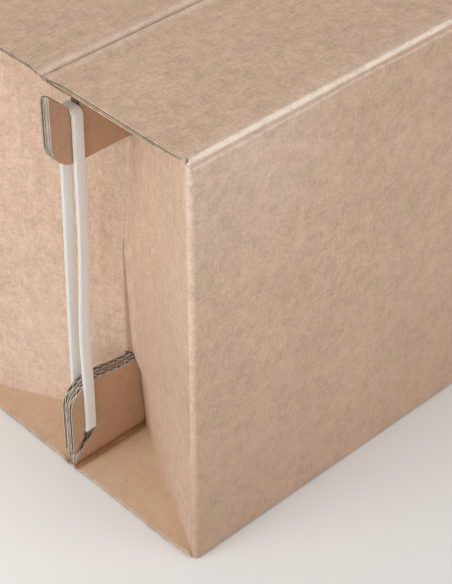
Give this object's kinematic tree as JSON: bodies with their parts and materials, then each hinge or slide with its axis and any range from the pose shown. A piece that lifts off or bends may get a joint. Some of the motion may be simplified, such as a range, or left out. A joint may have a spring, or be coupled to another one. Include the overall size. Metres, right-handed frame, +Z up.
{
  "type": "cardboard cajon",
  "caption": "Folding box drum of corrugated board with V-folded side recesses, tuck flaps with slotted ears, elastic side bands and a rear sound hole.",
  "frame": {"origin": "on the floor, under the middle of the box", "axes": "+Z up, the played front panel faces -Y, +X to the right as seen from the front"},
  "size_m": [0.356, 0.31, 0.4],
  "materials": {
    "board": "uncoated brown kraft liner",
    "band": "matt off-white elastic"
  },
  "bodies": {
    "shell": {"front_panel": "board", "rear_panel": "board", "left_gusset_front": "board", "left_gusset_rear": "board", "right_gusset_front": "board", "right_gusset_rear": "board", "glue_tab": "board"},
    "top_front_lid": {"top_front_flap": "board"},
    "top_front_ears": {"top_front_tuck": "board"},
    "top_rear_lid": {"top_rear_flap": "board"},
    "top_rear_ears": {"top_rear_tuck": "board"},
    "bottom_front_lid": {"bottom_front_flap": "board"},
    "bottom_front_ears": {"bottom_front_tuck": "board"},
    "bottom_rear_lid": {"bottom_rear_flap": "board"},
    "bottom_rear_ears": {"bottom_rear_tuck": "board"},
    "left_elastic": {"left_band": "band"},
    "right_elastic": {"right_band": "band"}
  },
  "joints": [
    {"name": "top_front_fold", "type": "hinge", "parent": "shell", "child": "top_front_lid", "pos_m": [0, -0.1525, 0.3975], "axis": [1, 0, 0], "range_deg": [0, 110], "deforming": ["left_band", "right_band"]},
    {"name": "top_front_tuck_fold", "type": "hinge", "parent": "top_front_lid", "child": "top_front_ears", "pos_m": [0, -0.0062, 0.395], "axis": [1, 0, 0], "range_deg": [-81, 0]},
    {"name": "top_rear_fold", "type": "hinge", "parent": "shell", "child": "top_rear_lid", "pos_m": [0, 0.1525, 0.3975], "axis": [-1, 0, 0], "range_deg": [0, 110]},
    {"name": "top_rear_tuck_fold", "type": "hinge", "parent": "top_rear_lid", "child": "top_rear_ears", "pos_m": [0, 0.0062, 0.395], "axis": [-1, 0, 0], "range_deg": [-81, 0]},
    {"name": "bottom_front_fold", "type": "hinge", "parent": "shell", "child": "bottom_front_lid", "pos_m": [0, -0.1525, 0.0025], "axis": [-1, 0, 0], "range_deg": [0, 110]},
    {"name": "bottom_front_tuck_fold", "type": "hinge", "parent": "bottom_front_lid", "child": "bottom_front_ears", "pos_m": [0, -0.0062, 0.005], "axis": [-1, 0, 0], "range_deg": [-81, 0]},
    {"name": "bottom_rear_fold", "type": "hinge", "parent": "shell", "child": "bottom_rear_lid", "pos_m": [0, 0.1525, 0.0025], "axis": [1, 0, 0], "range_deg": [0, 110]},
    {"name": "bottom_rear_tuck_fold", "type": "hinge", "parent": "bottom_rear_lid", "child": "bottom_rear_ears", "pos_m": [0, 0.0062, 0.005], "axis": [1, 0, 0], "range_deg": [-81, 0]},
    {"name": "left_band_off", "type": "slide", "parent": "shell", "child": "left_elastic", "axis": [-1, 0, 0], "range_m": [0, 0.08], "deforming": ["left_band"]},
    {"name": "right_band_off", "type": "slide", "parent": "shell", "child": "right_elastic", "axis": [1, 0, 0], "range_m": [0, 0.08], "deforming": ["right_band"]}
  ],
  "couplings": [
    {"joint": "top_front_tuck_fold", "follows": "top_front_fold", "ratio": -0.73},
    {"joint": "top_rear_tuck_fold", "follows": "top_rear_fold", "ratio": -0.73},
    {"joint": "bottom_front_tuck_fold", "follows": "bottom_front_fold", "ratio": -0.73},
    {"joint": "bottom_rear_tuck_fold", "follows": "bottom_rear_fold", "ratio": -0.73}
  ]
}
